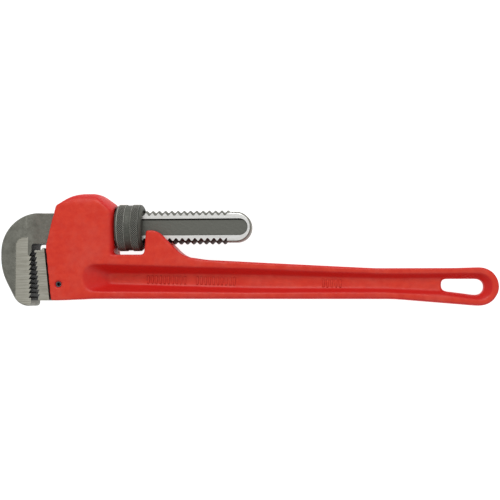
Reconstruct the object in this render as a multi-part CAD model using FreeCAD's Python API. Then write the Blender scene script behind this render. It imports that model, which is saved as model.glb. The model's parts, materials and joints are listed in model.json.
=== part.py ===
import FreeCAD, Part
import math
import os
from FreeCAD import Vector

# An 18 inch straight pipe wrench, lying on its side.
# Working frame: X runs from the jaws to the grip end, Y runs from the handle up to the
# shank, Z is the thickness. Its origin is on the adjusting nut's axis, beside the head.
# The parts are moved to the export frame at the end: the middle of the lowest level.

# ---- Driving dimensions (mm) ----
thread_pitch = 5.08            # five threads per inch, single start, right-hand
shank_half_thickness = 8.0
crest_radius = 13.6
root_radius = 12.0
thread_start = -7.25           # where the ridge begins, out of sight on the shank's side
thread_turns = 19.5
ridge_root_half = 2.25         # half widths of the ridge along the axis
ridge_crest_half = 0.4
shank_end = 109.5
shank_end_radius = 12.0
shank_neck_top = 11.7
shank_neck_bottom = -12.9
panel_half_height = 6.7        # long hollow down each side of the shank
panel_depth = 1.2

jaw_half_width = 14.0
hook_back = -92.1
hook_toe = -63.0
hook_face = -67.0
tooth_pitch = 3.72
tooth_depth = 1.8
tooth_count = 10
first_hook_notch = -23.1
milled_flat_depth = 0.45
milled_flat_radius = 6.45

head_half_width = 16.2
head_back = 0.0
head_rear_corner_radius = 5.0
head_crown_radius = 9.0        # rounding along the top of the head
head_rear_cone_radius = 18.6   # the head narrows to a round boss behind the nut
head_top = 27.1
slot_floor = -22.1
passage_half_width = 8.6
passage_half_height = 14.2
lug_front = 25.3
handle_bottom = -57.5
grip_half_width = 9.0
grip_end = 302.6
web_half_thickness = 3.6

nut_start = 1.2
nut_length = 21.3
nut_radius = 18.95
nut_bore_radius = 12.5
nut_root_radius = 14.1
thread_clearance = 0.4

heel_pin_place = (-43.9, -45.7)
heel_pin_radius = 2.35
heel_pin_bore_radius = 1.35
coil_spring_place = -30.0
coil_spring_radius = 4.6
coil_spring_wire_radius = 0.9
flat_spring_rivet_place = -12.0

# ---- Drawing helpers ----


def rounded_wire(corners, place):
    """Closed wire round (a, b, radius) corners, put in space by place(a, b)."""
    points = [(a, b) for a, b, radius in corners]
    count = len(points)
    starts = []
    arcs = []
    for index in range(count):
        before = points[index - 1]
        here = points[index]
        after = points[(index + 1) % count]
        radius = corners[index][2]
        into = (before[0] - here[0], before[1] - here[1])
        out = (after[0] - here[0], after[1] - here[1])
        into_length = math.hypot(*into)
        out_length = math.hypot(*out)
        into = (into[0] / into_length, into[1] / into_length)
        out = (out[0] / out_length, out[1] / out_length)
        half_angle = math.acos(max(-1.0, min(1.0, into[0] * out[0] + into[1] * out[1]))) / 2
        if radius == 0:
            starts.append((here, here))
            arcs.append(None)
            continue
        tangent = radius / math.tan(half_angle)
        first = (here[0] + into[0] * tangent, here[1] + into[1] * tangent)
        last = (here[0] + out[0] * tangent, here[1] + out[1] * tangent)
        bisector = (into[0] + out[0], into[1] + out[1])
        bisector_length = math.hypot(*bisector)
        to_middle = radius / math.sin(half_angle) - radius
        middle = (here[0] + bisector[0] / bisector_length * to_middle,
                  here[1] + bisector[1] / bisector_length * to_middle)
        starts.append((first, last))
        arcs.append(middle)
    edges = []
    for index in range(count):
        first, last = starts[index]
        if arcs[index]:
            arc = Part.Arc(place(*first), place(*arcs[index]), place(*last))
            edges.append(arc.toShape())
        following = starts[(index + 1) % count][0]
        if math.hypot(following[0] - last[0], following[1] - last[1]) > 1e-6:
            edges.append(Part.makeLine(place(*last), place(*following)))
    return Part.Wire(edges)


def side_wire(corners, z):
    return rounded_wire(corners, lambda x, y: Vector(x, y, z))


def side_prism(corners, z_low, z_high):
    """A plate with the given side view, between two levels of Z."""
    return Part.Face(side_wire(corners, z_low)).extrude(Vector(0, 0, z_high - z_low))


def plan_prism(corners, y_low, y_high):
    """A block with the given (x, half width, radius) plan on both sides of Z = 0."""
    other_side = [(x, -half, radius) for x, half, radius in reversed(corners)]
    wire = rounded_wire(list(corners) + other_side, lambda x, z: Vector(x, y_low, z))
    return Part.Face(wire).extrude(Vector(0, y_high - y_low, 0))


def box(x_low, x_high, y_low, y_high, z_low, z_high):
    size = (x_high - x_low, y_high - y_low, z_high - z_low)
    return Part.makeBox(*size, Vector(x_low, y_low, z_low))


def both_sides(solid):
    """The solid and its mirror image across Z = 0."""
    return [solid, solid.mirror(Vector(0, 0, 0), Vector(0, 0, 1))]


def helical_ridge(start, turns, inner, inner_half, outer, outer_half):
    """A trapezium between two radii, swept along a right-hand helix round the X axis."""
    helix = Part.makeHelix(thread_pitch, thread_pitch * turns, inner)
    corners = [Vector(inner, 0, -inner_half), Vector(outer, 0, -outer_half),
               Vector(outer, 0, outer_half), Vector(inner, 0, inner_half)]
    profile = Part.makePolygon(corners + corners[:1])
    ridge = helix.makePipeShell([profile], True, True)
    ridge.rotate(Vector(0, 0, 0), Vector(0, 1, 0), 90)
    ridge.translate(Vector(start, 0, 0))
    return ridge


def notches(first, count, pitch, depth, flat_on_lower_side):
    """Saw-tooth notches cut to the left of x = 0, going down from y = first."""
    cutters = []
    for index in range(count):
        deep = first - index * pitch
        other = deep + pitch if flat_on_lower_side else deep - pitch
        corners = [Vector(-depth, deep, 0), Vector(0.6, deep, 0), Vector(0.6, other, 0),
                   Vector(0, other, 0)]
        cutters.append(Part.Face(Part.makePolygon(corners + corners[:1])))
    return cutters


# ---- Handle: one casting with the head, the lug behind the nut and the I-beam grip ----


def recess():
    """The long hollow in each side of the I-beam, drafted from its floor to its mouth."""
    floor = [(-5, -36.3, 5), (-5, -45.7, 5), (108, -48.9, 300), (215, -49.3, 100),
             (262, -51.3, 100), (292.3, -55.1, 7), (292.3, -41.0, 7), (215, -41.3, 300),
             (108, -37.9, 300)]
    mouth = [(-27, -29.2, 9), (-27, -51.5, 9), (108, -55.0, 300), (215, -56.7, 100),
             (262, -60.0, 100), (306.0, -66.4, 14), (306.0, -31.0, 14), (215, -31.9, 300),
             (108, -30.1, 300)]
    wires = [side_wire(floor, web_half_thickness), side_wire(mouth, head_half_width + 1.3)]
    return Part.makeLoft(wires, True, True)


def make_handle():
    outline = [(-54.6, -15.7, 1.2), (-49.9, -58.7, 1.2), (-18, -57.4, 30),
               (222, handle_bottom, 120), (grip_end, -64.1, 15.2), (grip_end, -32.1, 15.0),
               (268, -33.2, 100), (208, -33.2, 100), (75, -26.4, 60), (55.6, -23.6, 22),
               (35.3, -2.9, 12.5), (lug_front + 0.9, -2.9, 1.2), (lug_front - 0.6, slot_floor, 2.6),
               (head_back, slot_floor, 1.5), (head_back, 19.0, 2.5), (-11.5, head_top, 18),
               (-31.5, head_top, 26), (-46.9, 17.5, 2.5)]
    plan = [(-60, head_half_width, 0), (-4, head_half_width, 40), (61, 13.2, 120),
            (163, 9.9, 300), (233, grip_half_width, 300), (grip_end + 5, grip_half_width, 0)]
    body = side_prism(outline, -head_half_width, head_half_width)
    body = body.common(plan_prism(plan, -70, 40))

    # The head's crown is rounded from side to side.
    crown = [(-70, -head_half_width, 0), (head_top + 0.2, -head_half_width, head_crown_radius),
             (head_top + 0.2, head_half_width, head_crown_radius), (-70, head_half_width, 0)]
    section = Part.Face(rounded_wire(crown, lambda y, z: Vector(-60, y, z)))
    body = body.common(section.extrude(Vector(grip_end + 70, 0, 0)))

    # The head's rear corners are rolled over above the slot for the nut, and its rear end
    # narrows to a round boss above the shank's middle.
    corner_x = head_back - head_rear_corner_radius
    corner_z = head_half_width - head_rear_corner_radius
    corner = box(corner_x, head_back + 1, slot_floor, head_top + 2, corner_z, head_half_width + 1)
    roller = Part.makeCylinder(head_rear_corner_radius, head_top + 4 - slot_floor,
                               Vector(corner_x, slot_floor - 1, corner_z), Vector(0, 1, 0))
    cutters = both_sides(corner.cut(roller))
    boss_length = 16
    boss = Part.makeCone(head_rear_cone_radius + 0.69 * boss_length, head_rear_cone_radius,
                         boss_length, Vector(head_back - boss_length, 0, 0), Vector(1, 0, 0))
    around_boss = box(head_back - boss_length, head_back, 0, 40, -20, 20)
    cutters.append(around_boss.cut(boss))

    # Passage for the shank through the head and between the two cheeks of the lug.
    cutters.append(box(-60, lug_front - 3, -passage_half_height, passage_half_height,
                       -passage_half_width, passage_half_width))
    cutters.append(box(lug_front - 3, 60, -passage_half_height, 10,
                       -passage_half_width, passage_half_width))

    # Pocket for the coil spring under the shank, and the flat spring's seat above it.
    pocket_radius = coil_spring_radius + coil_spring_wire_radius + 0.4
    cutters.append(Part.makeCylinder(pocket_radius, 16, Vector(coil_spring_place, -30, 0),
                                     Vector(0, 1, 0)))
    cutters.append(box(-46, -5, passage_half_height - 1, 16.8, -6.2, 6.2))
    cutters.append(Part.makeCylinder(2.0, 9, Vector(flat_spring_rivet_place, 16, 0),
                                     Vector(0, 1, 0)))

    # Socket for the heel jaw's tongue, and the hole for its pin, countersunk at both ends.
    cutters.append(box(-60, -35.7, -52.4, -37.8, -6.2, 6.2))
    pin_x, pin_y = heel_pin_place
    cutters.append(Part.makeCylinder(heel_pin_radius, 40, Vector(pin_x, pin_y, -20)))
    countersink = Part.makeCone(heel_pin_radius, heel_pin_radius + 0.7, 0.7,
                                Vector(pin_x, pin_y, head_half_width - 0.7))
    cutters += both_sides(countersink)

    # The hollows in the sides of the grip, and the hang hole through its end.
    cutters += both_sides(recess())
    hang_hole = [(258.5, -41.7, 3.2), (258.5, -50.8, 3.6), (291.5, -55.1, 6.4),
                 (291.5, -41.7, 6.0)]
    cutters.append(side_prism(hang_hole, -12, 12))
    return body.cut(cutters)


# ---- Hook jaw: one forging with the hook, its teeth and the threaded shank ----


def make_hook_jaw():
    outline = [(-9, shank_neck_top, 0), (hook_back, shank_neck_top, 31.0),
               (hook_back, -34.5, 45), (-77.2, hook_toe, 14), (hook_face, hook_toe, 0),
               (hook_face, shank_neck_bottom, 2), (-9, shank_neck_bottom, 0)]
    hook = side_prism(outline, -jaw_half_width, jaw_half_width)
    back = [edge for edge in hook.Edges
            if edge.BoundBox.ZLength < 0.01 and edge.BoundBox.XMin < hook_back + 0.1]
    hook = hook.makeFillet(2.6, back)
    plan = [(-100, jaw_half_width, 0), (-69.0, jaw_half_width, 18),
            (-58.8, shank_half_thickness, 18), (-5, shank_half_thickness, 0)]
    hook = hook.common(plan_prism(plan, -70, 20))
    toe_radius = 3
    toe_x = hook_face - toe_radius
    toe_y = hook_toe + toe_radius
    toe = box(toe_x, hook_face + 1, hook_toe - 1, toe_y, -20, 20)
    hook = hook.cut(toe.cut(Part.makeCylinder(toe_radius, 40, Vector(toe_x, toe_y, -20))))

    # Ten saw teeth, and the milled flat beside them on each face of the hook.
    cutters = []
    for face in notches(first_hook_notch, tooth_count, tooth_pitch, tooth_depth, True):
        face.translate(Vector(hook_face, 0, -20))
        cutters.append(face.extrude(Vector(0, 0, 40)))
    flat_left = hook_face - 2 * milled_flat_radius + 0.4
    milled = [(flat_left, -7.9, milled_flat_radius - 0.01),
              (flat_left, -70, 0), (hook_face + 0.4, -70, 0),
              (hook_face + 0.4, -7.9, milled_flat_radius - 0.01)]
    cutters += both_sides(side_prism(milled, jaw_half_width - milled_flat_depth, 20))
    hook = hook.cut(cutters)

    slab = box(-200, 200, -20, 20, -shank_half_thickness, shank_half_thickness)
    core = Part.makeCylinder(root_radius, 102, Vector(-11, 0, 0), Vector(1, 0, 0)).common(slab)
    ridge = helical_ridge(thread_start, thread_turns, root_radius - 0.2, ridge_root_half,
                          crest_radius, ridge_crest_half).common(slab)
    tail = [(90.3, shank_end_radius, 0), (90.3, -shank_end_radius, 0),
            (shank_end, -shank_end_radius, shank_end_radius - 0.01),
            (shank_end, shank_end_radius, shank_end_radius - 0.01)]
    end = side_prism(tail, -shank_half_thickness, shank_half_thickness)
    rim = [edge for edge in end.Edges
           if edge.BoundBox.ZLength < 0.01 and edge.BoundBox.XMax > 91]
    end = end.makeFillet(1.8, rim)
    jaw = hook.fuse([core, end, ridge])

    panel = [(-50, panel_half_height, panel_half_height - 0.01),
             (-50, -panel_half_height, panel_half_height - 0.01),
             (106.7, -panel_half_height, panel_half_height - 0.01),
             (106.7, panel_half_height, panel_half_height - 0.01)]
    hollow = side_prism(panel, shank_half_thickness - panel_depth, 20)
    return jaw.cut(both_sides(hollow))


# ---- Heel jaw: the toothed plate in front of the head, with a tongue pinned in it ----


def make_heel_jaw():
    outline = [(-64.3, -18.4, 0.6), (-60.7, -58.6, 0.8), (-51.6, -58.6, 1.0),
               (-56.2, -16.6, 0.6), (-57.4, -16.6, 0.6), (-59.0, -18.4, 1.0)]
    plate = side_prism(outline, -jaw_half_width, jaw_half_width)
    tongue = side_prism([(-56, -38.1, 0), (-56, -52.1, 0), (-36.2, -52.1, 2), (-36.2, -38.1, 2)],
                        -5.9, 5.9)
    jaw = plate.fuse(tongue)

    lean = math.degrees(math.atan2(64.3 - 60.7, 58.6 - 18.4))
    cutters = []
    for face in notches(-1.9, tooth_count, tooth_pitch, tooth_depth, False):
        cutter = face.extrude(Vector(0, 0, 40)).mirror(Vector(0, 0, 0), Vector(1, 0, 0))
        cutter.translate(Vector(0, 0, -20))
        cutter.rotate(Vector(0, 0, 0), Vector(0, 0, 1), lean)
        cutter.translate(Vector(-64.3, -18.4, 0))
        cutters.append(cutter)
    pin_x, pin_y = heel_pin_place
    cutters.append(Part.makeCylinder(heel_pin_radius, 40, Vector(pin_x, pin_y, -20)))
    return jaw.cut(cutters)


def make_heel_jaw_pin():
    """A rolled spring pin: a tube with a slit down its length."""
    pin_x, pin_y = heel_pin_place
    length = 2 * head_half_width - 2.4
    base = Vector(pin_x, pin_y, -length / 2)
    tube = Part.makeCylinder(heel_pin_radius, length, base)
    bore = Part.makeCylinder(heel_pin_bore_radius, length, base)
    slit = box(pin_x, pin_x + 5, pin_y - 0.35, pin_y + 0.35, -length, length)
    return tube.cut([bore, slit])


# ---- Adjusting nut: two grip bands, threaded on the shank ----


def make_adjusting_nut():
    end = nut_start + nut_length
    groove_radius = nut_radius - 0.7
    profile = [Vector(nut_start, 15.0, 0), Vector(nut_start, nut_radius - 1.6, 0),
               Vector(nut_start + 1.9, nut_radius, 0), Vector(8.3, nut_radius, 0),
               Vector(8.9, groove_radius, 0), Vector(13.5, groove_radius, 0),
               Vector(14.1, nut_radius, 0), Vector(end - 3.2, nut_radius, 0)]
    shoulder_end = Vector(end, 14.6, 0)
    edges = [Part.makeLine(first, last) for first, last in zip(profile, profile[1:])]
    edges.append(Part.Arc(profile[-1], Vector(end - 0.8, 17.4, 0), shoulder_end).toShape())
    inner = [shoulder_end, Vector(end - 0.8, nut_root_radius, 0),
             Vector(nut_start + 0.9, nut_root_radius, 0), profile[0]]
    edges += [Part.makeLine(first, last) for first, last in zip(inner, inner[1:])]
    blank = Part.Face(Part.Wire(edges)).revolve(Vector(0, 0, 0), Vector(1, 0, 0), 360)

    # The nut's ridge fills the shank's groove, less the same clearance on both flanks.
    def half_width(radius):
        slope = (ridge_root_half - ridge_crest_half) / (crest_radius - root_radius)
        shank_half = ridge_root_half - slope * (radius - root_radius)
        return min(thread_pitch / 2 - shank_half - thread_clearance, thread_pitch / 2 - 0.2)

    buried = nut_root_radius + 0.2
    ridge = helical_ridge(thread_start - thread_pitch / 2, 8, nut_bore_radius,
                          half_width(nut_bore_radius), buried, half_width(buried))
    between_ends = Part.makeCylinder(nut_radius, nut_length - 1.6, Vector(nut_start + 0.8, 0, 0),
                                     Vector(1, 0, 0))
    return blank.fuse(ridge.common(between_ends))


# ---- Springs inside the head ----


def make_coil_spring():
    height = 13.2
    turns = 5
    helix = Part.makeHelix(height / turns, height, coil_spring_radius)
    wire_section = Part.Wire(Part.makeCircle(coil_spring_wire_radius,
                                             Vector(coil_spring_radius, 0, 0), Vector(0, 1, 0)))
    spring = helix.makePipeShell([wire_section], True, True)
    spring.rotate(Vector(0, 0, 0), Vector(1, 0, 0), -90)
    spring.translate(Vector(coil_spring_place, -30 + 1.0, 0))
    return spring


def make_flat_spring():
    """A leaf riveted at its rear end, bowed down towards the shank."""
    thickness = 0.8
    seat = 16.8

    def leaf_edge(drop):
        bow_start = Vector(-17, seat - drop, 0)
        bow_end = Vector(-44, seat - 0.2 - drop, 0)
        bow = Part.Arc(bow_start, Vector(-30.5, seat - 1.5 - drop, 0), bow_end).toShape()
        return Vector(-6, seat - drop, 0), bow_start, bow, bow_end

    top_rear, top_bend, top_bow, top_front = leaf_edge(0)
    low_rear, low_bend, low_bow, low_front = leaf_edge(thickness)
    wire = Part.Wire([Part.makeLine(top_rear, top_bend), top_bow,
                      Part.makeLine(top_front, low_front), low_bow,
                      Part.makeLine(low_bend, low_rear), Part.makeLine(low_rear, top_rear)])
    leaf = Part.Face(wire).extrude(Vector(0, 0, 11))
    leaf.translate(Vector(0, 0, -5.5))
    hole = Part.makeCylinder(2.0, 10, Vector(flat_spring_rivet_place, 10, 0), Vector(0, 1, 0))
    return leaf.cut(hole)


def make_flat_spring_rivet():
    top = 24.5
    under_leaf = 16.0
    stem = Part.makeCylinder(1.95, top - under_leaf, Vector(flat_spring_rivet_place, under_leaf, 0),
                             Vector(0, 1, 0))
    head = Part.makeCone(2.6, 3.6, 1.0, Vector(flat_spring_rivet_place, under_leaf - 1.0, 0),
                         Vector(0, 1, 0))
    return stem.fuse(head)


# ---- Build, move to the export frame and write ----

nodes = {
    "handle": make_handle(),
    "hook_jaw": make_hook_jaw(),
    "heel_jaw": make_heel_jaw(),
    "heel_jaw_pin": make_heel_jaw_pin(),
    "adjusting_nut": make_adjusting_nut(),
    "coil_spring": make_coil_spring(),
    "flat_spring": make_flat_spring(),
    "flat_spring_rivet": make_flat_spring_rivet(),
}

whole = Part.makeCompound(list(nodes.values())).optimalBoundingBox()
to_export = Vector(-whole.Center.x, -whole.Center.y, -whole.ZMin)
os.makedirs("parts", exist_ok=True)
for name, shape in nodes.items():
    solid = shape.removeSplitter()
    solid.translate(to_export)
    solid.exportStep(f"parts/{name}.step")
    print(name, "valid", solid.isValid(), "solids", len(solid.Solids),
          "volume", round(solid.Volume / 1000, 2), "cm3")
print("moved by", [round(value, 3) for value in to_export], "size",
      [round(value, 2) for value in (whole.XLength, whole.YLength, whole.ZLength)])
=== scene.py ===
import json
import math

import bmesh
import bpy
from mathutils import Matrix, Vector


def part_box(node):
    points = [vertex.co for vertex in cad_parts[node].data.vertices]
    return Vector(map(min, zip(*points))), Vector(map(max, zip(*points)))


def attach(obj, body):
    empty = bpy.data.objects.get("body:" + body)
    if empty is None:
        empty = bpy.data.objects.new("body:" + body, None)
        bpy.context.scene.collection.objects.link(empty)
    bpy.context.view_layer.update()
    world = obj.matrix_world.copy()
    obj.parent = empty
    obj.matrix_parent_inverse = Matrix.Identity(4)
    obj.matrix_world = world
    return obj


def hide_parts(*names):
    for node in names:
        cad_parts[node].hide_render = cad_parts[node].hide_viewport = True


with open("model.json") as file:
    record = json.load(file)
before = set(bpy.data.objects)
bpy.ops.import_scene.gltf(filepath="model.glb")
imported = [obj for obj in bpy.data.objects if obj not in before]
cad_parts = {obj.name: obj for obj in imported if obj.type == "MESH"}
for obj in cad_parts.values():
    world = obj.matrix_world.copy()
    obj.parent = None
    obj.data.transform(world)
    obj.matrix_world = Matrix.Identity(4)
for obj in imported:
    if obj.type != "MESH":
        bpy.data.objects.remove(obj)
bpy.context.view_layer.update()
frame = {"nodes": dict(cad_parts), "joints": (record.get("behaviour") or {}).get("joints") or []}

# ---- Camera ----
# Stands over the wrench as it lies on its side, a little towards the grip end and level
# with the lower edge of the handle, and looks back at the middle of the tool.
nut_centre = Vector(next(j["pos_m"] for j in frame["joints"] if j["name"] == "nut_spin"))
camera_data = bpy.data.cameras.new("overhead_camera")
camera_data.sensor_width = 36.0
camera_data.lens = 70.91
camera = bpy.data.objects.new("overhead_camera", camera_data)
bpy.context.scene.collection.objects.link(camera)
middle_from_nut = Vector((0.09613, -0.01823, 0.0))
camera_from_middle = Vector((0.065, -0.038, 0.785))
aim = nut_centre + middle_from_nut
camera.location = aim + camera_from_middle
back = (camera.location - aim).normalized()
across = Vector((0, 1, 0)).cross(back).normalized()
camera.matrix_world = Matrix.Translation(camera.location) @ Matrix(
    (across, back.cross(across), back)).transposed().to_4x4()
bpy.context.scene.camera = camera

# ---- Studio ----
# A plain white floor under soft boxes: the main one stands beyond the shank side of the
# tool, and a weaker one fills the shadows from the handle side. The floor is a light table.
floor_mesh = bpy.data.meshes.new("studio_floor")
floor = bpy.data.objects.new("studio_floor", floor_mesh)
bpy.context.scene.collection.objects.link(floor)
bm = bmesh.new()
bmesh.ops.create_grid(bm, x_segments=1, y_segments=1, size=20.0)
bm.to_mesh(floor_mesh)
bm.free()
floor_paint = bpy.data.materials.new("studio_floor")
floor_paint.use_nodes = True
floor_shader = floor_paint.node_tree.nodes["Principled BSDF"]
floor_shader.inputs["Base Color"].default_value = (0.35, 0.35, 0.35, 1)
floor_shader.inputs["Roughness"].default_value = 0.8
floor_shader.inputs["Emission Color"].default_value = (1, 1, 1, 1)
floor_shader.inputs["Emission Strength"].default_value = 0.93
floor_mesh.materials.append(floor_paint)

world = bpy.data.worlds.new("studio_air")
bpy.context.scene.world = world
world.use_nodes = True
world.node_tree.nodes["Background"].inputs["Color"].default_value = (1, 1, 1, 1)
world.node_tree.nodes["Background"].inputs["Strength"].default_value = 0.52
bpy.context.scene.view_settings.view_transform = "Standard"


def soft_light(name, place, size, power):
    """A square soft box that faces the tool."""
    data = bpy.data.lights.new(name, "AREA")
    data.size = size
    data.energy = power
    light = bpy.data.objects.new(name, data)
    bpy.context.scene.collection.objects.link(light)
    light.location = Vector(place)
    direction = aim - light.location
    light.rotation_euler = direction.to_track_quat("-Z", "Y").to_euler()


soft_light("key_light", (-0.1, 0.9, 0.9), 0.45, 7.0)
soft_light("fill_light", (0.5, -0.7, 1.0), 0.9, 2.0)

# ---- Handle ----
# One malleable-iron casting: the head that houses the shank, the lug behind the nut and
# the I-beam grip with its hang hole. Sand-cast, fettled, then dipped in red enamel.


def merged_copy(name, node):
    """An object with the CAD node's shape, its loose triangles merged into one skin."""
    mesh = frame["nodes"][node].data.copy()
    mesh.name = name
    mesh.materials.clear()
    bm = bmesh.new()
    bm.from_mesh(mesh)
    bmesh.ops.remove_doubles(bm, verts=bm.verts, dist=3e-6)
    bm.to_mesh(mesh)
    bm.free()
    piece = bpy.data.objects.new(name, mesh)
    bpy.context.scene.collection.objects.link(piece)
    return piece


def stand_for(piece, body, node, material):
    """The piece rides on the body, replaces the CAD node and gets its finish."""
    piece.data.materials.append(material)
    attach(piece, body)
    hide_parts(node)


def new_group(name, inputs, outputs):
    """A shader node group with float inputs of these defaults, and these outputs."""
    group = bpy.data.node_groups.new(name, "ShaderNodeTree")
    for label, value in inputs.items():
        socket = group.interface.new_socket(label, in_out="INPUT", socket_type="NodeSocketFloat")
        socket.default_value = value
    for label in outputs:
        group.interface.new_socket(label, in_out="OUTPUT", socket_type="NodeSocketFloat")
    return group, group.nodes.new("NodeGroupInput"), group.nodes.new("NodeGroupOutput")


def put(tree, kind, links=None, **settings):
    """A node of this kind; settings are its properties, links feed or set its inputs."""
    node = tree.nodes.new(kind)
    for key, value in settings.items():
        setattr(node, key, value)
    for socket, source in (links or {}).items():
        if isinstance(source, bpy.types.NodeSocket):
            tree.links.new(source, node.inputs[socket])
        else:
            node.inputs[socket].default_value = source
    return node


# Cast grain: lumps from the sand of the mould, with a finer grain on top of them.
cast_grain, given, result = new_group("cast_grain", {"Size": 400.0, "Fineness": 5.0},
                                      ["Lumps", "Grain"])
place = put(cast_grain, "ShaderNodeTexCoord").outputs["Object"]
lumps = put(cast_grain, "ShaderNodeTexNoise",
            {"Vector": place, "Scale": given.outputs["Size"], "Detail": 3.0,
             "Roughness": 0.6})
fine_size = put(cast_grain, "ShaderNodeMath",
                {0: given.outputs["Size"], 1: given.outputs["Fineness"]}, operation="MULTIPLY")
grain = put(cast_grain, "ShaderNodeTexNoise",
            {"Vector": place, "Scale": fine_size.outputs[0], "Detail": 2.0})
cast_grain.links.new(lumps.outputs["Fac"], result.inputs["Lumps"])
cast_grain.links.new(grain.outputs["Fac"], result.inputs["Grain"])

# Edge wear: a mask along convex and concave edges, broken up into patches.
edge_wear, given, result = new_group("edge_wear", {"Radius": 0.0006, "Patch Size": 900.0,
                                                   "Amount": 1.0}, ["Mask"])
rounded = put(edge_wear, "ShaderNodeBevel", {"Radius": given.outputs["Radius"]}, samples=4)
true_normal = put(edge_wear, "ShaderNodeNewGeometry").outputs["Normal"]
turned = put(edge_wear, "ShaderNodeVectorMath", {0: rounded.outputs[0], 1: true_normal},
             operation="DOT_PRODUCT")
near_edge = put(edge_wear, "ShaderNodeMapRange",
                {"Value": turned.outputs["Value"], "From Min": 0.998, "From Max": 0.93})
place = put(edge_wear, "ShaderNodeTexCoord").outputs["Object"]
patches = put(edge_wear, "ShaderNodeTexNoise",
              {"Vector": place, "Scale": given.outputs["Patch Size"], "Detail": 4.0})
kept = put(edge_wear, "ShaderNodeMapRange",
           {"Value": patches.outputs["Fac"], "From Min": 0.35, "From Max": 0.6})
worn = put(edge_wear, "ShaderNodeMath", {0: near_edge.outputs[0], 1: kept.outputs[0]},
           operation="MULTIPLY")
scaled = put(edge_wear, "ShaderNodeMath", {0: worn.outputs[0], 1: given.outputs["Amount"]},
             operation="MULTIPLY", use_clamp=True)
edge_wear.links.new(scaled.outputs[0], result.inputs["Mask"])

# Workshop dust: settles in patches on what faces up.
dust, given, result = new_group("workshop_dust", {"Amount": 0.2, "Patch Size": 60.0}, ["Mask"])
facing = put(dust, "ShaderNodeSeparateXYZ",
             {0: put(dust, "ShaderNodeNewGeometry").outputs["Normal"]})
level = put(dust, "ShaderNodeMapRange",
            {"Value": facing.outputs["Z"], "From Min": 0.5, "From Max": 1.0})
place = put(dust, "ShaderNodeTexCoord").outputs["Object"]
drifts = put(dust, "ShaderNodeTexNoise",
             {"Vector": place, "Scale": given.outputs["Patch Size"], "Detail": 6.0,
              "Roughness": 0.7})
settled = put(dust, "ShaderNodeMapRange",
              {"Value": drifts.outputs["Fac"], "From Min": 0.45, "From Max": 0.75})
lying = put(dust, "ShaderNodeMath", {0: level.outputs[0], 1: settled.outputs[0]},
            operation="MULTIPLY")
lying = put(dust, "ShaderNodeMath", {0: lying.outputs[0], 1: given.outputs["Amount"]},
            operation="MULTIPLY")
dust.links.new(lying.outputs[0], result.inputs["Mask"])


def new_material(name, roughness, metallic):
    """A material with its Principled shader, and its node tree."""
    material = bpy.data.materials.new(name)
    material.use_nodes = True
    tree = material.node_tree
    shader = tree.nodes["Principled BSDF"]
    shader.inputs["Roughness"].default_value = roughness
    shader.inputs["Metallic"].default_value = metallic
    return material, tree, shader


def effect(tree, group, **values):
    """One of the shared effects, placed in a material with its own values."""
    node = put(tree, "ShaderNodeGroup", node_tree=group)
    for label, value in values.items():
        node.inputs[label.replace("_", " ")].default_value = value
    return node


def blended(tree, factor, first, second):
    """A colour between two colours, as a socket."""
    mix = put(tree, "ShaderNodeMix", {"Factor": factor}, data_type="RGBA")
    for index, colour in ((6, first), (7, second)):
        if isinstance(colour, bpy.types.NodeSocket):
            tree.links.new(colour, mix.inputs[index])
        else:
            mix.inputs[index].default_value = (*colour, 1)
    return mix.outputs[2]


def ranged(tree, value, low, high, to_low=0.0, to_high=1.0):
    """The value carried from one range to another, as a socket."""
    return put(tree, "ShaderNodeMapRange",
               {"Value": value, "From Min": low, "From Max": high, "To Min": to_low,
                "To Max": to_high}).outputs[0]


def joined(tree, operation, first, second):
    """Two values put together by a Math node, as a socket."""
    return put(tree, "ShaderNodeMath", {0: first, 1: second}, operation=operation).outputs[0]


def levelness(tree):
    """One where a face points straight up or down, nought on a wall, as a socket."""
    facing = put(tree, "ShaderNodeSeparateXYZ",
                 {0: put(tree, "ShaderNodeNewGeometry").outputs["Normal"]})
    return put(tree, "ShaderNodeMath", {0: facing.outputs["Z"]}, operation="ABSOLUTE").outputs[0]


# Red enamel: flat red, with painted shade that makes it deeper on the slopes, and darker along
# the edges, partly worn thin there and partly painted shade of the rounded edges.
red_enamel, tree, shader = new_material("red_enamel", 0.36, 0.0)
skin = effect(tree, cast_grain, Size=190.0, Fineness=7.0)
colour = blended(tree, ranged(tree, skin.outputs["Lumps"], 0.35, 0.65),
                 (0.66, 0.030, 0.014), (0.72, 0.043, 0.019))
# Painted shade: the less a face points up, the deeper the red.
slope_shade = ranged(tree, levelness(tree), 0.98, 0.80, 0.0, 0.8)
colour = blended(tree, slope_shade, colour, (0.60, 0.010, 0.010))
# The darker edges are partly wear and partly painted shade along the rounded edges.
wear = effect(tree, edge_wear, Radius=0.0011, Patch_Size=500.0, Amount=0.5)
colour = blended(tree, wear.outputs["Mask"], colour, (0.33, 0.04, 0.025))
settled = effect(tree, dust, Amount=0.10, Patch_Size=45.0)
colour = blended(tree, settled.outputs["Mask"], colour, (0.62, 0.30, 0.25))
tree.links.new(colour, shader.inputs["Base Color"])
tree.links.new(ranged(tree, skin.outputs["Grain"], 0.3, 0.7, 0.38, 0.5),
               shader.inputs["Roughness"])
orange_peel = put(tree, "ShaderNodeBump", {"Height": skin.outputs["Grain"], "Strength": 0.5,
                                           "Distance": 0.00011})
casting = put(tree, "ShaderNodeBump", {"Height": skin.outputs["Lumps"], "Strength": 0.7,
                                       "Distance": 0.0005, "Normal": orange_peel.outputs[0]})
tree.links.new(casting.outputs[0], shader.inputs["Normal"])
shader.inputs["Specular IOR Level"].default_value = 0.3

handle_casting = merged_copy("handle_casting", "handle")
remesh = handle_casting.modifiers.new("cast_skin", "REMESH")
remesh.mode = "VOXEL"
remesh.voxel_size = 0.0009
remesh.use_smooth_shade = True
skin_mesh = bpy.data.meshes.new_from_object(
    handle_casting.evaluated_get(bpy.context.evaluated_depsgraph_get()))
handle_casting.modifiers.clear()
handle_casting.data = skin_mesh
skin_mesh.name = "handle_casting"

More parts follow.
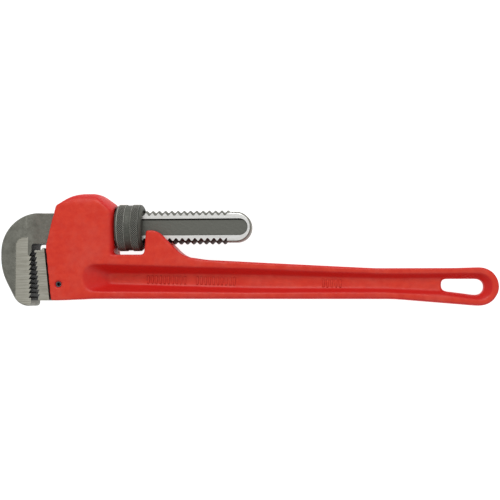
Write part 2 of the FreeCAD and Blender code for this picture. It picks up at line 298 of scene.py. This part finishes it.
# Foundry corners: slight on the head and the slot, larger over the crown and the grip, and
# largest along the lower flange, which sits in the palm. Each pass melts them a little more.
bm = bmesh.new()
bm.from_mesh(skin_mesh)
crown_level = nut_centre.y + 0.008
grip_level = nut_centre.y - 0.0255
flange_level = nut_centre.y - 0.0535
grip_start = nut_centre.x - 0.042
flange_start = nut_centre.x - 0.022
rounding_passes = (
    (3, lambda place: True),
    (9, lambda place: place.y > crown_level),
    (9, lambda place: place.y < grip_level and place.x > grip_start),
    (12, lambda place: place.y < flange_level and place.x > flange_start),
)
for passes, inside in rounding_passes:
    chosen = [vert for vert in bm.verts if inside(vert.co)]
    for step in range(passes):
        bmesh.ops.smooth_vert(bm, verts=chosen, factor=0.5, use_axis_x=True,
                              use_axis_y=True, use_axis_z=True)
bm.to_mesh(skin_mesh)
bm.free()
stand_for(handle_casting, "handle", "handle", red_enamel)

# ---- Blank bars on the web ----
# Plain raised bars cast on both faces of the web, where maker's lettering usually goes.
# They are part of the handle's casting and wear the same enamel.
bar_size = Matrix.Diagonal((0.0017, 0.0064, 0.0016, 1.0))
bar_spacing = 0.0033
web_surface = 0.0037           # from the middle of the wrench's thickness
head_back = nut_centre.x - 0.01185
row_start = nut_centre.y - 0.0412
row_slope = -0.022
bars = bpy.data.meshes.new("web_bars")
bm = bmesh.new()
long_row = [0.0265 + bar_spacing * step for step in range(22) if step not in (10, 11)]
short_row = [0.1665 + bar_spacing * step for step in range(5)]
for offset in long_row + short_row:
    for side in (-1, 1):
        middle = Vector((head_back + offset, row_start + row_slope * offset,
                         nut_centre.z + side * web_surface))
        bmesh.ops.create_cube(bm, size=1.0, matrix=Matrix.Translation(middle) @ bar_size)
bmesh.ops.bevel(bm, geom=bm.edges, offset=0.0004, offset_type="OFFSET", affect="EDGES",
                segments=2, profile=0.5, material=-1)
bm.to_mesh(bars)
bm.free()
for face in bars.polygons:
    face.use_smooth = True
web_bars = bpy.data.objects.new("web_bars", bars)
bpy.context.scene.collection.objects.link(web_bars)
bars.materials.append(red_enamel)
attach(web_bars, "handle")

# ---- Heel jaw ----
# A hardened steel plate with ten saw teeth, pinned into the front of the head by a tongue
# so that it can be changed. Ground bright on its sides; its edges and teeth are painted near
# black as shade.


def crisp(piece, width):
    """Flat faces joined, edges rounded by the width, shading smooth only over curves."""
    bm = bmesh.new()
    bm.from_mesh(piece.data)
    bmesh.ops.dissolve_limit(bm, angle_limit=math.radians(0.4), verts=bm.verts, edges=bm.edges)
    for face in bm.faces:
        face.smooth = True
    for edge in bm.edges:
        edge.smooth = len(edge.link_faces) == 2 and edge.calc_face_angle() < math.radians(32)
    bm.to_mesh(piece.data)
    bm.free()
    rounding = piece.modifiers.new("broken_edges", "BEVEL")
    rounding.width = width
    rounding.segments = 2
    rounding.limit_method = "ANGLE"
    rounding.angle_limit = math.radians(32)
    rounding.use_clamp_overlap = True
    rounding.harden_normals = True


# Ground lines: fine scratches of a grinding wheel, all one way.
ground_lines, given, result = new_group("ground_lines", {"Along": 60.0, "Across": 3200.0},
                                        ["Lines", "Broad"])
place = put(ground_lines, "ShaderNodeTexCoord").outputs["Object"]
stretch = put(ground_lines, "ShaderNodeCombineXYZ",
              {"X": given.outputs["Along"], "Y": given.outputs["Across"],
               "Z": given.outputs["Along"]})
stretched = put(ground_lines, "ShaderNodeVectorMath", {0: place, 1: stretch.outputs[0]},
                operation="MULTIPLY")
lines = put(ground_lines, "ShaderNodeTexNoise",
            {"Vector": stretched.outputs[0], "Scale": 1.0, "Detail": 3.0})
broader = put(ground_lines, "ShaderNodeVectorMath", {0: stretched.outputs[0]},
              operation="SCALE")
broader.inputs["Scale"].default_value = 0.22
broad = put(ground_lines, "ShaderNodeTexNoise",
            {"Vector": broader.outputs[0], "Scale": 1.0, "Detail": 2.0})
ground_lines.links.new(lines.outputs["Fac"], result.inputs["Lines"])
ground_lines.links.new(broad.outputs["Fac"], result.inputs["Broad"])

ground_steel, tree, shader = new_material("ground_steel", 0.38, 0.85)
lines = effect(tree, ground_lines, Along=90.0, Across=2600.0)
colour = blended(tree, ranged(tree, lines.outputs["Broad"], 0.3, 0.7),
                 (0.33, 0.315, 0.25), (0.50, 0.485, 0.41))
colour = blended(tree, ranged(tree, lines.outputs["Lines"], 0.45, 0.7), colour,
                 (0.60, 0.59, 0.53))
wear = effect(tree, edge_wear, Radius=0.0005, Patch_Size=1400.0, Amount=0.6)
colour = blended(tree, wear.outputs["Mask"], colour, (0.62, 0.61, 0.57))
# Painted shade: every face that stands as a wall, the edges and the teeth, goes near black.
colour = blended(tree, ranged(tree, levelness(tree), 0.6, 0.2), colour, (0.016, 0.016, 0.014))
tree.links.new(colour, shader.inputs["Base Color"])
tree.links.new(ranged(tree, lines.outputs["Lines"], 0.3, 0.7, 0.34, 0.52),
               shader.inputs["Roughness"])
scratches = put(tree, "ShaderNodeBump", {"Height": lines.outputs["Lines"], "Strength": 0.35,
                                         "Distance": 0.00006})
tree.links.new(scratches.outputs[0], shader.inputs["Normal"])

heel_plate = merged_copy("heel_plate", "heel_jaw")
crisp(heel_plate, 0.00022)
stand_for(heel_plate, "handle", "heel_jaw", ground_steel)

# ---- Heel jaw pin ----
# A rolled spring pin of blued steel, driven through the head and the heel jaw's tongue.
blued_steel, tree, shader = new_material("blued_steel", 0.4, 0.9)
skin = effect(tree, cast_grain, Size=1500.0, Fineness=4.0)
colour = blended(tree, ranged(tree, skin.outputs["Lumps"], 0.35, 0.65),
                 (0.055, 0.06, 0.075), (0.14, 0.14, 0.15))
wear = effect(tree, edge_wear, Radius=0.0003, Patch_Size=2500.0, Amount=0.8)
colour = blended(tree, wear.outputs["Mask"], colour, (0.38, 0.37, 0.35))
tree.links.new(colour, shader.inputs["Base Color"])
tree.links.new(ranged(tree, skin.outputs["Grain"], 0.3, 0.7, 0.32, 0.55),
               shader.inputs["Roughness"])
drawn = put(tree, "ShaderNodeBump", {"Height": skin.outputs["Grain"], "Strength": 0.3,
                                     "Distance": 0.00003})
tree.links.new(drawn.outputs[0], shader.inputs["Normal"])

spring_pin = merged_copy("spring_pin", "heel_jaw_pin")
crisp(spring_pin, 0.00018)
stand_for(spring_pin, "handle", "heel_jaw_pin", blued_steel)

# ---- Springs in the head ----
# A coil spring under the shank and a riveted leaf spring above it keep the hook jaw from
# rattling. Both are blued spring steel, out of sight inside the head.
for node in ("coil_spring", "flat_spring", "flat_spring_rivet"):
    mesh = frame["nodes"][node].data
    mesh.materials.clear()
    mesh.materials.append(blued_steel)

# ---- Hook jaw ----
# One drop forging: the hook with its ten teeth and the flat-sided shank with its thread.
# Dark from the heat treatment, then ground bright on the shank's lands and beside the
# teeth.


def from_nut(tree):
    """Along, up, height and radius: where a point lies from the nut's centre, as sockets."""
    place = put(tree, "ShaderNodeTexCoord").outputs["Object"]
    centred = put(tree, "ShaderNodeVectorMath", {0: place, 1: tuple(nut_centre)},
                  operation="SUBTRACT").outputs[0]
    axes = put(tree, "ShaderNodeSeparateXYZ", {0: centred}).outputs
    height = put(tree, "ShaderNodeMath", {0: axes["Z"]}, operation="ABSOLUTE").outputs[0]
    square_to_axis = put(tree, "ShaderNodeVectorMath", {0: centred, 1: (0, 1, 1)},
                         operation="MULTIPLY").outputs[0]
    radius = put(tree, "ShaderNodeVectorMath", {0: square_to_axis},
                 operation="LENGTH").outputs["Value"]
    return axes["X"], axes["Y"], height, radius


def region(tree, *limits):
    """A mask of the places within all the (value, low, high, softness) limits."""
    mask = 1.0
    for value, low, high, soft in limits:
        rise = ranged(tree, value, low - soft, low)
        fall = ranged(tree, value, high, high + soft, 1.0, 0.0)
        mask = joined(tree, "MULTIPLY", mask, joined(tree, "MULTIPLY", rise, fall))
    return mask


forging, tree, shader = new_material("forging", 0.5, 0.7)
skin = effect(tree, cast_grain, Size=420.0, Fineness=6.0)
place = put(tree, "ShaderNodeTexCoord").outputs["Object"]
along, up, height, radius = from_nut(tree)
blotches = put(tree, "ShaderNodeTexNoise", {"Vector": place, "Scale": 130.0, "Detail": 6.0,
                                            "Roughness": 0.7})
dark_forging = blended(tree, ranged(tree, blotches.outputs["Fac"], 0.38, 0.64),
                       (0.15, 0.15, 0.125), (0.24, 0.24, 0.205))
dark_forging = blended(tree, ranged(tree, skin.outputs["Grain"], 0.5, 0.75), dark_forging,
                       (0.27, 0.27, 0.24))
wear = effect(tree, edge_wear, Radius=0.0007, Patch_Size=900.0, Amount=0.7)
dark_forging = blended(tree, wear.outputs["Mask"], dark_forging, (0.42, 0.42, 0.38))
lines = effect(tree, ground_lines, Along=70.0, Across=2400.0)
bright = blended(tree, ranged(tree, lines.outputs["Lines"], 0.35, 0.65),
                 (0.78, 0.78, 0.75), (0.95, 0.95, 0.93))
milled = blended(tree, ranged(tree, lines.outputs["Lines"], 0.35, 0.65),
                 (0.36, 0.35, 0.29), (0.52, 0.51, 0.44))
level = levelness(tree)

# Where the finishes lie: the lands are the shank's flat sides, the panel the hollow in them,
# and the milled flats stand beside and above the teeth.
land_mask = region(tree, (height, 0.00786, 0.0083, 0.00005), (along, -0.060, 0.2, 0.002))
beside_teeth = region(tree, (height, 0.0120, 0.01364, 0.00004), (up, -0.08, -0.0225, 0.0002))
above_teeth = region(tree, (height, 0.01350, 0.01362, 0.00004), (up, -0.023, -0.0078, 0.0002))
milled_mask = joined(tree, "MULTIPLY", joined(tree, "MAXIMUM", beside_teeth, above_teeth),
                     region(tree, (along, -0.0915, -0.0775, 0.0001)))
milled_mask = joined(tree, "MULTIPLY", milled_mask, ranged(tree, level, 0.7, 0.9))
panel_mask = region(tree, (height, 0.0066, 0.0070, 0.0001), (up, -0.0068, 0.0068, 0.0001),
                    (along, -0.068, 0.096, 0.0002))
# Painted shadow: a dark line along the panel's upper and lower edges, where the step shades it.
panel_edge_shade = joined(tree, "MAXIMUM", region(tree, (up, 0.0057, 0.0069, 0.0004)),
               region(tree, (up, -0.0069, -0.0066, 0.0003)))
# Painted shade on the thread's flanks, the faces that stand as walls.
thread_shade_mask = region(tree, (radius, 0.0119, 0.0141, 0.0001), (along, -0.022, 0.0785, 0.0005))
thread_shade_mask = joined(tree, "MULTIPLY", thread_shade_mask, ranged(tree, level, 0.9, 0.6))
# Painted shade: the walls of the teeth go near black.
tooth_shade_mask = region(tree, (along, -0.0815, -0.0600, 0.0005), (up, -0.0580, -0.0125, 0.0008))
tooth_shade_mask = joined(tree, "MULTIPLY", tooth_shade_mask, ranged(tree, level, 0.6, 0.2))

# The finishes and painted shade, one over the other. The thread's painted shade is heavier on
# the lower side.
colour = blended(tree, panel_mask, dark_forging, (0.155, 0.158, 0.138))
colour = blended(tree, joined(tree, "MULTIPLY", panel_edge_shade, panel_mask), colour,
                 (0.018, 0.018, 0.016))
colour = blended(tree, land_mask, colour, bright)
thread_shade_strength = ranged(tree, up, -0.008, 0.008, 0.9, 0.35)
colour = blended(tree, joined(tree, "MULTIPLY", thread_shade_mask, thread_shade_strength), colour,
                 (0.02, 0.02, 0.018))
colour = blended(tree, tooth_shade_mask, colour, (0.008, 0.008, 0.007))
colour = blended(tree, milled_mask, colour, milled)
tree.links.new(colour, shader.inputs["Base Color"])
worked = joined(tree, "MAXIMUM", land_mask, milled_mask)
rough = ranged(tree, skin.outputs["Grain"], 0.3, 0.7, 0.46, 0.66)
smoother = joined(tree, "MULTIPLY", worked, 0.16)
tree.links.new(joined(tree, "SUBTRACT", rough, smoother), shader.inputs["Roughness"])
grain_height = joined(tree, "MULTIPLY", skin.outputs["Lumps"],
                      ranged(tree, worked, 0.0, 1.0, 1.0, 0.08))
hammered = put(tree, "ShaderNodeBump", {"Height": grain_height, "Strength": 0.6,
                                        "Distance": 0.0004})
line_height = joined(tree, "MULTIPLY", lines.outputs["Lines"], worked)
ground = put(tree, "ShaderNodeBump", {"Height": line_height, "Strength": 0.3,
                                      "Distance": 0.00005, "Normal": hammered.outputs[0]})
tree.links.new(ground.outputs[0], shader.inputs["Normal"])

hook_forging = merged_copy("hook_forging", "hook_jaw")
crisp(hook_forging, 0.00025)
stand_for(hook_forging, "hook_jaw", "hook_jaw", forging)

# ---- Adjusting nut ----
# Turned from steel bar, with two diamond-knurled grip bands either side of a plain
# groove and a rounded shoulder, then blacked. Its thread runs on the shank.
knurl_around = 136            # half diamonds round the nut
knurl_step = 0.00087
knurl_depth = 0.00062
outer_radius = 0.01893
nut_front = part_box("adjusting_nut")[0][0]
band_starts = (nut_front + 0.0021, nut_front + 0.0131)
band_steps = 6


def ring_points():
    """(x, radius) round the nut's section, from the bore's front edge over the outside."""
    front = nut_front
    points = [(0.0009, 0.0141), (0.0, 0.0150), (0.0, 0.01735), (0.0004, 0.0178),
              (0.0019, 0.01888)]
    points += [(0.0021 + knurl_step * step, outer_radius) for step in range(band_steps + 1)]
    points += [(0.0075, 0.01885), (0.0079, 0.01835), (0.0083, 0.01825), (0.0122, 0.01825),
               (0.0126, 0.01835), (0.0129, 0.01885)]
    points += [(0.0131 + knurl_step * step, outer_radius) for step in range(band_steps + 1)]
    points += [(0.01845, 0.01872), (0.01875, 0.01840), (0.01905, 0.01858), (0.0195, 0.01825),
               (0.0201, 0.01760), (0.0206, 0.01680), (0.0210, 0.01580), (0.0213, 0.01460),
               (0.0205, 0.0141)]
    return [(front + x, radius) for x, radius in points]


nut_mesh = bpy.data.meshes.new("knurled_nut")
bm = bmesh.new()
section = [bm.verts.new((x, nut_centre.y + radius, nut_centre.z))
           for x, radius in ring_points()]
edges = [bm.edges.new(pair) for pair in zip(section, section[1:] + section[:1])]
bmesh.ops.spin(bm, geom=section + edges, cent=nut_centre, axis=(1, 0, 0),
               angle=2 * math.pi, steps=knurl_around, use_merge=True)


def is_low(vert):
    """Whether a point of the lathe's grid is a low point of the knurl."""
    for start in band_starts:
        step = (vert.co.x - start) / knurl_step
        if -0.01 < step < band_steps + 0.01:
            angle = math.atan2(vert.co.z - nut_centre.z, vert.co.y - nut_centre.y)
            turn = round(angle / (2 * math.pi) * knurl_around)
            return (round(step) + turn) % 2 == 1
    return False


low_points = {vert for vert in bm.verts
              if math.hypot(vert.co.y - nut_centre.y, vert.co.z - nut_centre.z) > 0.01891
              and is_low(vert)}
for vert in low_points:
    axis_point = Vector((vert.co.x, nut_centre.y, nut_centre.z))
    vert.co -= (vert.co - axis_point).normalized() * knurl_depth
for face in list(bm.faces):
    pair = [vert for vert in face.verts if vert in low_points]
    if len(pair) == 2:
        bmesh.utils.face_split(face, pair[0], pair[1])
bmesh.ops.recalc_face_normals(bm, faces=bm.faces)
for face in bm.faces:
    face.smooth = not any(vert in low_points for vert in face.verts)

# The nut's own thread, a ridge wound inside the bore.
thread_pitch = 0.00508
ridge_start = nut_front + 0.0010
helix_start = nut_front - 0.01099    # where the shank's helix would have its zero angle
turn_at_start = (ridge_start - helix_start) / thread_pitch * 2 * math.pi
outwards = Vector((0, math.sin(turn_at_start), -math.cos(turn_at_start)))
on_axis = Vector((ridge_start, nut_centre.y, nut_centre.z))
corners = [(-0.00045, 0.0125), (0.00045, 0.0125), (0.0022, 0.0142), (-0.0022, 0.0142)]
profile = [bm.verts.new(on_axis + Vector((x, 0, 0)) + outwards * radius)
           for x, radius in corners]
edges = [bm.edges.new(pair) for pair in zip(profile, profile[1:] + profile[:1])]
ridge_turns = 3.75
ridge_steps = 180
bmesh.ops.spin(bm, geom=profile + edges, cent=on_axis, axis=(1, 0, 0),
               dvec=(ridge_turns * thread_pitch / ridge_steps, 0, 0),
               angle=ridge_turns * 2 * math.pi, steps=ridge_steps)
bm.to_mesh(nut_mesh)
bm.free()
knurled_nut = bpy.data.objects.new("knurled_nut", nut_mesh)
bpy.context.scene.collection.objects.link(knurled_nut)

blacked_steel, tree, shader = new_material("blacked_steel", 0.55, 0.5)
skin = effect(tree, cast_grain, Size=700.0, Fineness=5.0)
radius = from_nut(tree)[3]
colour = blended(tree, ranged(tree, skin.outputs["Lumps"], 0.35, 0.65),
                 (0.075, 0.077, 0.064), (0.115, 0.117, 0.10))
crests = ranged(tree, radius, 0.01854, 0.01880)
colour = blended(tree, joined(tree, "MULTIPLY", crests, 0.95), colour, (0.48, 0.48, 0.43))
# Painted shade: near black down in the knurl's pits.
knurl_pit_shade = joined(tree, "MULTIPLY", ranged(tree, radius, 0.0183, 0.01836),
              ranged(tree, radius, 0.01838, 0.01862, 1.0, 0.0))
colour = blended(tree, knurl_pit_shade, colour, (0.01, 0.01, 0.009))
wear = effect(tree, edge_wear, Radius=0.0004, Patch_Size=1600.0, Amount=0.5)
colour = blended(tree, wear.outputs["Mask"], colour, (0.30, 0.30, 0.27))
tree.links.new(colour, shader.inputs["Base Color"])
tree.links.new(ranged(tree, skin.outputs["Grain"], 0.3, 0.7, 0.5, 0.7),
               shader.inputs["Roughness"])
turned_skin = put(tree, "ShaderNodeBump", {"Height": skin.outputs["Grain"], "Strength": 0.4,
                                           "Distance": 0.00006})
tree.links.new(turned_skin.outputs[0], shader.inputs["Normal"])
stand_for(knurled_nut, "adjusting_nut", "adjusting_nut", blacked_steel)
